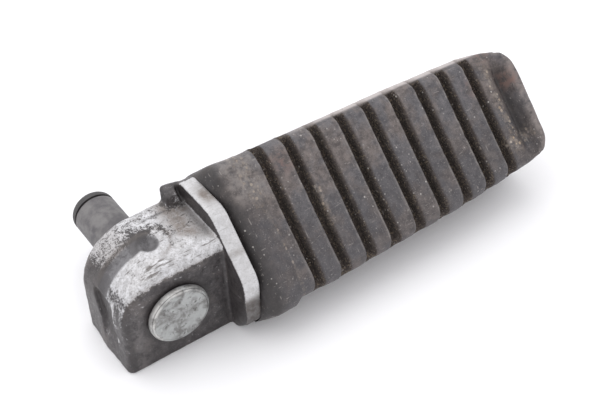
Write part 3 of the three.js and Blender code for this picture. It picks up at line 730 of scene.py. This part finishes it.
def build_pin():
    """The pin lies along Y, with its head in front and an empty circlip groove at its far end."""
    head = (PIN_HIGH[0] - PIN_LOW[0]) / 2
    front, end = PIN_LOW[1], PIN_HIGH[1]
    back = front + PIN_HEAD_THICKNESS
    shank, waist = PIN_RADIUS, PIN_RADIUS - CIRCLIP_DEPTH
    profile = rounded_profile([
        (0, front + 0.12, 0),
        (head - 1.4, front + 0.08, 0.6),
        (head - 0.55, front + 0.02, 0.4),
        (head, front + 0.6, 0.4),
        (head, back, 0.3),
        (shank, back, 0.1),
        (shank, end - CIRCLIP_START, 0.1),
        (waist, end - CIRCLIP_START, 0.08),
        (waist, end - CIRCLIP_END, 0.08),
        (shank, end - CIRCLIP_END, 0.15),
        (shank, end - 1.3, 1.0),
        (shank - 1.3, end, 0.6),
        (0, end, 0),
    ])
    points, faces = turned(profile, PIN_SEGMENTS)
    x, across, along = points.T
    placed = np.c_[x, along, -across + PIN_HEIGHT]
    radius = np.hypot(x, across)
    face = smooth(back, front + 0.9, along)
    pitted = smooth(0.7, 0.85, lattice_noise(placed, 0.9, 65))
    bumps = (fractal(placed, 3.0, 61) - 0.5) * 0.16 - 0.10 * pitted
    placed[:, 1] += np.maximum(bumps, -0.12) * face * smooth(head, head - 1.5, radius)
    # A highlight is painted on the upper left of the head's edge; the rim mask carries it.
    to_upper_left = smooth(-0.6, 0.6, (placed[:, 2] - PIN_HEIGHT - x) / head)
    rim = smooth(head - 1.3, head - 0.7, radius) * face * to_upper_left
    in_groove = (along > end - CIRCLIP_START - 0.1) * (along < end - CIRCLIP_END + 0.1)
    masks = {
        "head": face,
        "rim": rim,
        "groove": smooth(0.06, 0.3, shank - radius) * in_groove,
        "cap": smooth(end - 2.9, end - 2.6, along),
    }
    return make_piece("pin", placed, faces, "pin", ["pivot_pin"], masks)


def hexagon_distance(u, v, across_flats):
    spans = [np.abs(u * math.cos(a) + v * math.sin(a)) for a in np.radians([0, 60, 120])]
    return np.maximum.reduce(spans) - across_flats / 2


def build_bolt(place, x0):
    """A hexagon bolt from below, with a dished head and a threaded shank."""
    head_high = BAR_BOTTOM - 4.1
    head_low = head_high - BOLT_HEAD_HEIGHT

    def bolt(x, across, height):
        radius = np.hypot(x - x0, across)
        outline = hexagon_distance(x - x0, across, BOLT_ACROSS_FLATS)
        head = both(outline, slab(height, head_low, head_high), 0.25)
        head = both(head, radius * 0.5 - height * 0.866 + head_low * 0.866 - 2.55, 0.15)
        dish = np.sqrt((x - x0) ** 2 + across**2 + (height - head_low + 11.2) ** 2) - 11.7
        head = less(head, dish, 0.2)
        thread = 0.16 * np.cos(height * 2 * math.pi / THREAD_PITCH)
        shank = both(radius - 2.86 - thread, slab(height, head_high - 1, BOLT_TOP), 0.4)
        return either(head, shank, 0.15)

    low = np.array([x0 - 5, -5.8, head_low])
    high = np.array([x0 + 5, 5.8, BOLT_TOP])
    points, quads, _, ridge, hollow = skin(bolt, low, high, BOLT_CELL)
    masks = {"ridge": ridge, "hollow": hollow}
    name, cad = f"hex_bolt_{place}", [f"pad_bolt_{place}"]
    return make_piece(name, from_tread(points), quads, "arm", cad, masks)


def build_washer(place, x0, sprung):
    """A flat washer, or a split spring washer below it."""
    kind = "spring_washer" if sprung else "flat_washer"
    high = BAR_BOTTOM - (2.2 if sprung else 0.3)
    low = high - 1.6
    outer = 5.5 if sprung else 6.1

    def washer(x, across, height):
        radius = np.hypot(x - x0, across)
        d = both(slab(radius, 3.25, outer), slab(height, low + 0.05, high - 0.05), 0.25)
        if sprung:
            lean = across + 0.5 * (height - (low + high) / 2)
            cut = np.maximum(np.abs(lean) - 0.5, x0 - x)
            d = less(d, cut, 0.15)
        return d

    corner = np.array([outer + 0.2, outer + 0.2, 0])
    middle_low, middle_high = np.array([x0, 0, low]), np.array([x0, 0, high])
    low_corner, high_corner = middle_low - corner, middle_high + corner
    points, quads, _, ridge, hollow = skin(washer, low_corner, high_corner, WASHER_CELL)
    masks = {"ridge": ridge, "hollow": hollow}
    name, cad = f"{kind}_{place}_turned", [f"{kind}_{place}"]
    return make_piece(name, from_tread(points), quads, "arm", cad, masks)


# ---- Materials ----


class Graph:
    """A material under construction: each call adds a node and returns the socket that matters."""

    def __init__(self, name):
        self.material = bpy.data.materials.new(name)
        self.material.use_nodes = True
        self.tree = self.material.node_tree
        self.tree.nodes.clear()
        self.shader = self.tree.nodes.new("ShaderNodeBsdfPrincipled")
        output = self.tree.nodes.new("ShaderNodeOutputMaterial")
        self.tree.links.new(self.shader.outputs["BSDF"], output.inputs["Surface"])
        self.place = self.tree.nodes.new("ShaderNodeTexCoord").outputs["Object"]

    def set(self, socket, value):
        if isinstance(value, bpy.types.NodeSocket):
            self.tree.links.new(value, socket)
        else:
            socket.default_value = value

    def add(self, kind, inputs, **options):
        """A new node with its options set, and each of its inputs set or linked."""
        node = self.tree.nodes.new(kind)
        for name, value in options.items():
            setattr(node, name, value)
        for key, value in inputs.items():
            self.set(node.inputs[key], value)
        return node

    def mask(self, name):
        return self.add("ShaderNodeAttribute", {}, attribute_name=name).outputs["Fac"]

    def calc(self, operation, a, b):
        return self.add("ShaderNodeMath", {0: a, 1: b}, operation=operation).outputs[0]

    def times(self, a, b):
        return self.calc("MULTIPLY", a, b)

    def plus(self, a, b):
        return self.calc("ADD", a, b)

    def most(self, a, b):
        return self.calc("MAXIMUM", a, b)

    def mixed(self, *parts):
        """The sum of weighted values, each of them measured from one half."""
        total = None
        for value, weight in parts:
            part = self.times(self.calc("SUBTRACT", value, 0.5), weight)
            total = part if total is None else self.plus(total, part)
        return total

    def stretched(self, scale, turn=(0, 0, 0)):
        """Coordinates scaled along each axis after a turn in degrees."""
        angles = [math.radians(a) for a in turn]
        inputs = {"Vector": self.place, "Scale": scale, "Rotation": angles}
        return self.add("ShaderNodeMapping", inputs).outputs[0]

    def noise(self, scale, detail, rough, where=None, twist=0.0):
        inputs = {"Vector": where or self.place, "Scale": scale, "Detail": detail}
        inputs |= {"Roughness": rough, "Distortion": twist}
        return self.add("ShaderNodeTexNoise", inputs).outputs["Fac"]

    def cells(self, scale, output="Distance"):
        """Distance from the nearest of scattered points, or a random colour for each of them."""
        inputs = {"Vector": self.place, "Scale": scale}
        return self.add("ShaderNodeTexVoronoi", inputs).outputs[output]

    def random_cells(self, scale):
        """Three random numbers that stay the same inside each cell."""
        return self.add("ShaderNodeSeparateColor", {0: self.cells(scale, "Color")}).outputs

    def ramp(self, value, low, high):
        """0 below low, 1 above high; a low above high turns it round."""
        start, end = (0.0, 1.0) if low < high else (1.0, 0.0)
        inputs = {"Value": value, "From Min": min(low, high), "From Max": max(low, high)}
        inputs |= {"To Min": start, "To Max": end}
        return self.add("ShaderNodeMapRange", inputs, interpolation_type="SMOOTHSTEP").outputs[0]

    def blend(self, amount, a, b):
        """The colour a with an amount of the colour b laid over it."""
        a, b = ((*c, 1.0) if isinstance(c, tuple) else c for c in (a, b))
        options = {"data_type": "RGBA", "clamp_factor": True}
        return self.add("ShaderNodeMix", {0: amount, 6: a, 7: b}, **options).outputs[2]

    def layers(self, color, *coats):
        """A colour with coats (amount, colour) laid over it in turn."""
        for amount, coat in coats:
            color = self.blend(amount, color, coat)
        return color

    def between(self, amount, a, b):
        """The number a where the amount is 0, and b where it is 1."""
        options = {"data_type": "FLOAT", "clamp_factor": True}
        return self.add("ShaderNodeMix", {0: amount, 2: a, 3: b}, **options).outputs[0]

    def bump(self, height, distance):
        inputs = {"Height": height, "Distance": distance}
        return self.add("ShaderNodeBump", inputs).outputs[0]

    def finish(self, color, roughness, metallic, normal=None, specular=0.5):
        values = {"Base Color": color, "Roughness": roughness, "Metallic": metallic}
        for name, value in values.items():
            self.set(self.shader.inputs[name], value)
        self.shader.inputs["Specular IOR Level"].default_value = specular
        if normal is not None:
            self.set(self.shader.inputs["Normal"], normal)
        return self.material


def scratch_lines(g, scale, turn, low, high):
    """Thin bright lines: the crests of a noise drawn out along one direction."""
    noise = g.noise(1.0, 2.0, 0.5, g.stretched(scale, turn))
    return g.ramp(noise, low, high)


def casting_material():
    """Black paint over cast aluminium: the bare mask and a noise decide which of them shows."""
    g = Graph("worn_painted_casting")
    broad = g.noise(170, 4, 0.55)
    coarse = g.noise(620, 6, 0.68, twist=0.3)
    fine = g.noise(2300, 5, 0.72)
    bare = g.plus(g.mask("bare"), g.mixed((coarse, 1.15), (fine, 1.5), (broad, 0.55)))
    bare = g.plus(bare, g.times(g.mask("ridge"), 0.14))
    bare = g.calc("SUBTRACT", bare, g.times(g.mask("hollow"), 0.30))
    metal = g.ramp(bare, 0.36, 0.64)
    lines = g.most(
        scratch_lines(g, (300, 2600, 900), (12, 5, 24), 0.70, 0.74),
        scratch_lines(g, (2600, 380, 800), (0, 20, -35), 0.71, 0.75),
    )
    metal = g.most(metal, g.times(lines, 0.45))

    # Dark marks in the metal: pits, gouges and a scored patch in front.
    pits = g.times(g.ramp(g.noise(2100, 4, 0.7), 0.42, 0.33), g.ramp(coarse, 0.62, 0.42))
    pits = g.most(pits, g.times(g.mask("pits"), 0.35))
    gouges = scratch_lines(g, (230, 2000, 900), (0, 0, 28), 0.345, 0.30)
    scores = scratch_lines(g, (170, 1300, 1300), (0, 0, -10), 0.50, 0.42)
    scores = g.times(scores, g.ramp(g.mask("scored"), 0.15, 0.7))
    dark = g.most(g.times(pits, 0.75), g.times(gouges, 0.7))
    dark = g.most(dark, g.times(scores, 0.85))
    dark = g.times(dark, g.between(g.mask("rim"), 1.0, 0.35))

    brown = g.times(g.mask("stain"), g.ramp(coarse, 0.22, 0.62))
    silver = g.blend(g.ramp(coarse, 0.3, 0.7), (0.40, 0.395, 0.40), (0.68, 0.68, 0.70))
    silver = g.layers(
        silver,
        (g.times(g.ramp(broad, 0.55, 0.35), 0.25), (0.45, 0.435, 0.42)),
        (g.times(g.ramp(fine, 0.52, 0.36), 0.65), (0.29, 0.275, 0.265)),
        (g.times(g.mask("rim"), 0.5), (0.565, 0.56, 0.562)),
        (dark, (0.10, 0.085, 0.075)),
        (g.times(brown, 0.92), (0.180, 0.150, 0.130)),
        (g.times(g.mask("polish"), 0.88), (0.128, 0.124, 0.130)),
    )

    paint = g.blend(g.ramp(coarse, 0.35, 0.7), (0.030, 0.0255, 0.027), (0.076, 0.068, 0.069))
    paint = g.layers(
        paint,
        (g.ramp(broad, 0.52, 0.70), (0.092, 0.080, 0.078)),
        (g.ramp(g.noise(2600, 2, 0.5), 0.66, 0.76), (0.22, 0.195, 0.165)),
        (g.times(brown, 0.5), (0.110, 0.090, 0.075)),
        (g.times(g.mask("streak"), g.ramp(coarse, 0.3, 0.6)), (0.115, 0.105, 0.104)),
        (g.times(g.mask("polish"), 0.8), (0.110, 0.106, 0.112)),
    )

    color = g.blend(metal, paint, silver)
    # Painted shade in hollows and where the shade mask says: round the pin's head, in the recess,
    # in the dimple and by the flange, with some dirt.
    shade = g.most(g.times(g.mask("hollow"), 0.55), g.times(g.mask("shade"), 0.75))
    color = g.blend(shade, color, (0.024, 0.020, 0.020))
    roughness = g.between(metal, g.between(fine, 0.28, 0.60), g.between(coarse, 0.38, 0.62))
    metallic = g.times(metal, g.between(dark, 0.25, 0.05))
    relief = g.plus(g.times(metal, -0.5), g.times(fine, 0.6))
    relief = g.calc("SUBTRACT", relief, g.times(dark, 0.8))
    return g.finish(color, roughness, metallic, g.bump(relief, 0.00009))


def rubber_material():
    """Dull black rubber, greyed by wear, with soil in the grooves and sand on the ribs; shade is
    painted by the flange, in the dish and up the grooves' walls, and a highlight along the back
    edge.
    """
    g = Graph("worn_tread_rubber")
    broad = g.noise(110, 5, 0.62)
    middle = g.noise(520, 6, 0.66)
    fine = g.noise(2600, 4, 0.65)
    cool = g.blend(g.ramp(middle, 0.3, 0.7), (0.060, 0.057, 0.063), (0.128, 0.121, 0.127))
    warm = g.blend(g.ramp(middle, 0.3, 0.7), (0.068, 0.057, 0.055), (0.176, 0.149, 0.139))
    color = g.blend(g.ramp(broad, 0.42, 0.60), cool, warm)
    wear = g.times(g.mask("worn"), g.ramp(middle, 0.30, 0.60))
    color = g.layers(
        color,
        # Darker on the front half and on the collar.
        (g.times(g.mask("darker_front_and_collar"), 0.45), (0.047, 0.043, 0.046)),
        (g.times(g.ramp(fine, 0.55, 0.72), 0.55), (0.27, 0.245, 0.23)),
        (g.times(g.ramp(fine, 0.42, 0.28), 0.50), (0.035, 0.030, 0.029)),
        (g.times(wear, 0.60), (0.29, 0.265, 0.245)),
        # Painted shade in the neck and the dish, with some dirt next to the flange.
        (g.times(g.mask("shade"), g.between(middle, 0.95, 0.55)), (0.026, 0.023, 0.022)),
    )

    # Soil with pale grains in the grooves; up the leaning walls it also stands for painted shade.
    uneven = g.times(g.calc("SUBTRACT", middle, 0.5), 0.7)
    in_groove = g.ramp(g.plus(g.mask("groove"), uneven), 0.05, 0.75)
    grain = g.random_cells(2900)
    few = g.between(g.noise(420, 3, 0.6), 0.99, 0.76)
    grains = g.calc("GREATER_THAN", grain[0], few)
    soil = g.blend(grain[1], (0.022, 0.016, 0.014), (0.066, 0.053, 0.045))
    soil = g.blend(g.times(grains, 0.75), soil, (0.135, 0.105, 0.075))
    color = g.blend(in_groove, color, soil)

    # Sand in places, pale dust with a painted highlight along the back edge, worn lip and red
    # stains.
    sand = g.random_cells(780)
    lumps = g.times(g.ramp(g.cells(780), 0.40, 0.27), g.ramp(sand[0], 0.50, 0.60))
    haze = g.times(g.ramp(g.noise(1100, 4, 0.6), 0.42, 0.62), 0.35)
    dusty = g.times(g.mask("dust"), g.most(lumps, haze))
    sand_color = g.blend(sand[1], (0.36, 0.28, 0.20), (0.52, 0.45, 0.38))
    dust_and_sheen_band = g.times(g.mask("ledge_dust_and_sheen"), g.ramp(middle, 0.22, 0.42))
    reddish = g.times(g.mask("rust"), g.ramp(middle, 0.40, 0.65))
    color = g.layers(
        color,
        (dusty, sand_color),
        (g.times(dust_and_sheen_band, 0.85), (0.50, 0.455, 0.44)),
        (g.times(g.mask("lip"), g.ramp(middle, 0.25, 0.75)), (0.225, 0.195, 0.183)),
        (g.times(reddish, 0.6), (0.18, 0.088, 0.068)),
    )

    # Scattered pale specks and scratches.
    spots = g.times(g.ramp(g.cells(330), 0.105, 0.055), g.ramp(g.noise(120, 2, 0.5), 0.45, 0.54))
    crumbs = g.times(g.ramp(g.cells(850), 0.22, 0.13), g.ramp(g.noise(210, 4, 0.6), 0.54, 0.62))
    speck = g.most(spots, g.times(crumbs, 0.7))
    color = g.blend(g.times(speck, 0.65), color, (0.50, 0.475, 0.445))
    lines = g.most(
        scratch_lines(g, (330, 2600, 1300), (20, 8, 62), 0.68, 0.73),
        scratch_lines(g, (1900, 300, 300), (-45, 0, 6), 0.69, 0.74),
    )
    color = g.blend(g.times(lines, 0.50), color, (0.30, 0.275, 0.255))

    roughness = g.between(g.most(in_groove, dusty), g.between(middle, 0.46, 0.70), 0.95)
    relief = g.plus(g.times(fine, 0.55), g.times(middle, 0.8))
    relief = g.plus(relief, g.times(g.times(grains, in_groove), 1.2))
    relief = g.plus(relief, g.times(speck, 0.8))
    g.shader.inputs["Sheen Weight"].default_value = 0.10
    g.shader.inputs["Sheen Roughness"].default_value = 0.35
    return g.finish(color, roughness, 0.0, g.bump(relief, 0.0001), specular=0.42)


def pin_material():
    """Grey steel shank; the head has a pitted patina, and a highlight is painted on its upper left
    edge.
    """
    g = Graph("worn_pin_steel")
    broad = g.noise(280, 5, 0.6)
    fine = g.noise(1800, 4, 0.6)
    color = g.blend(g.ramp(broad, 0.35, 0.65), (0.108, 0.102, 0.107), (0.196, 0.189, 0.187))
    patina = g.ramp(g.noise(330, 5, 0.60, twist=0.4), 0.34, 0.62)
    face = g.blend(patina, (0.17, 0.165, 0.16), (0.41, 0.42, 0.415))
    pitted = g.times(g.ramp(g.noise(900, 4, 0.6), 0.42, 0.33), 0.75)
    face = g.blend(pitted, face, (0.070, 0.064, 0.060))
    face = g.blend(g.ramp(fine, 0.60, 0.72), face, (0.46, 0.465, 0.46))
    color = g.blend(g.mask("head"), color, face)
    # Painted highlight on the head's upper left edge.
    rim = g.times(g.mask("rim"), g.ramp(broad, 0.35, 0.6))
    color = g.blend(g.times(rim, 0.8), color, (0.62, 0.61, 0.59))
    color = g.blend(g.mask("groove"), color, (0.020, 0.017, 0.017))
    color = g.blend(g.times(g.mask("cap"), 0.85), color, (0.050, 0.048, 0.048))
    head_roughness = g.between(patina, 0.42, 0.60)
    roughness = g.between(g.mask("head"), g.between(broad, 0.52, 0.66), head_roughness)
    metallic = g.between(g.mask("head"), 0.12, 0.30)
    along = g.noise(1.0, 3, 0.5, g.stretched((2600, 140, 2600)))
    relief = g.plus(g.times(fine, 0.5), g.times(along, 0.4))
    return g.finish(color, roughness, metallic, g.bump(relief, 0.00004), specular=0.35)


def steel_material(name, dull, bright, roughness_range, rust_amount):
    """Plated steel with bright edges, and rust in its hollows."""
    g = Graph(name)
    broad = g.noise(500, 5, 0.6)
    fine = g.noise(2400, 4, 0.6)
    color = g.blend(broad, dull, bright)
    worn_edge = g.times(g.ramp(g.mask("ridge"), 0.35, 0.75), g.ramp(fine, 0.35, 0.6))
    color = g.blend(g.times(worn_edge, 0.7), color, (0.62, 0.61, 0.59))
    patches = g.plus(g.noise(700, 6, 0.7), g.times(g.mask("hollow"), 0.25))
    rust = g.times(g.ramp(patches, 0.52, 0.68), rust_amount)
    color = g.blend(rust, color, (0.16, 0.085, 0.05))
    roughness = g.between(g.most(rust, broad), *roughness_range)
    metallic = g.between(rust, 0.9, 0.1)
    return g.finish(color, roughness, metallic, g.bump(fine, 0.00003))


def wear_material(piece, material):
    piece.data.materials.clear()
    piece.data.materials.append(material)


# ---- The object ----

casting = casting_material()
rubber = rubber_material()
pin_steel = pin_material()
zinc = steel_material("dull_zinc", (0.24, 0.235, 0.225), (0.47, 0.46, 0.43), (0.36, 0.66), 0.85)
plain_steel = steel_material(
    "pressed_steel", (0.20, 0.19, 0.18), (0.36, 0.34, 0.32), (0.45, 0.75), 0.9
)

wear_material(build_arm(), casting)
wear_material(build_pad(), rubber)
wear_material(build_pin(), pin_steel)
for place, x0 in BOLT_X.items():
    wear_material(build_bolt(place, x0), zinc)
    wear_material(build_washer(place, x0, sprung=False), zinc)
    wear_material(build_washer(place, x0, sprung=True), zinc)
    wear_material(frame["nodes"][f"weld_nut_{place}"], plain_steel)
wear_material(frame["nodes"]["pad_insert_plate"], plain_steel)

# ---- Stage: pale floor, soft light, camera ----

FLOOR_HALF = 1.5
FLOOR_DROP = 0.00005
CAMERA_PLACE = (-0.08162, -0.19660, 0.23503)
CAMERA_TURN = (-32.71, 43.11, 2.87)
CAMERA_LENS = 73.49
KEY_PLACE = (-0.05, 0.45, 0.82)
KEY_TARGET = (0.045, 0.0, 0.015)
KEY_SIZE = 1.3
KEY_POWER = 3.9
SKY_COLOR = (0.985, 0.98, 1.0, 1)
SKY_STRENGTH = 1.12


def build_floor():
    mesh = bpy.data.meshes.new("floor")
    corners = [
        (side_x * FLOOR_HALF, side_y * FLOOR_HALF, -FLOOR_DROP)
        for side_x, side_y in ((-1, -1), (1, -1), (1, 1), (-1, 1))
    ]
    mesh.from_pydata(corners, [], [(0, 1, 2, 3)])
    floor = bpy.data.objects.new("floor", mesh)
    bpy.context.scene.collection.objects.link(floor)
    g = Graph("pale_floor")
    color = g.blend(g.noise(9, 2, 0.5), (0.93, 0.93, 0.94), (0.95, 0.95, 0.955))
    wear_material(floor, g.finish(color, 0.9, 0.0, specular=0.2))


def build_light():
    """One large soft lamp behind and above the peg, and an even sky."""
    data = bpy.data.lights.new("key", "AREA")
    data.shape = "RECTANGLE"
    data.size = data.size_y = KEY_SIZE
    data.energy = KEY_POWER
    light = bpy.data.objects.new("key", data)
    light.location = KEY_PLACE
    toward = Vector(KEY_TARGET) - Vector(KEY_PLACE)
    light.rotation_euler = toward.to_track_quat("-Z", "Y").to_euler()
    bpy.context.scene.collection.objects.link(light)
    world = bpy.data.worlds.new("studio")
    world.use_nodes = True
    background = world.node_tree.nodes["Background"]
    background.inputs["Color"].default_value = SKY_COLOR
    background.inputs["Strength"].default_value = SKY_STRENGTH
    bpy.context.scene.world = world


def build_camera():
    """Looks down on the peg from in front of the knuckle, at the photograph's viewing angle."""
    azimuth, elevation, roll = (math.radians(a) for a in CAMERA_TURN)
    back = Vector((
        math.sin(azimuth) * math.cos(elevation),
        -math.cos(azimuth) * math.cos(elevation),
        math.sin(elevation),
    ))
    right = (-back).cross(Vector((0, 0, 1))).normalized()
    down = (-back).cross(right)
    turned_right = math.cos(roll) * right + math.sin(roll) * down
    turned_down = math.cos(roll) * down - math.sin(roll) * right
    axes = Matrix((turned_right, -turned_down, back)).transposed()
    data = bpy.data.cameras.new("camera")
    data.sensor_width = 36.0
    data.lens = CAMERA_LENS
    data.clip_start = 0.01
    camera = bpy.data.objects.new("camera", data)
    camera.matrix_world = Matrix.Translation(CAMERA_PLACE) @ axes.to_4x4()
    bpy.context.scene.collection.objects.link(camera)
    bpy.context.scene.camera = camera


build_floor()
build_camera()
build_light()
bpy.context.scene.view_settings.view_transform = "Standard"
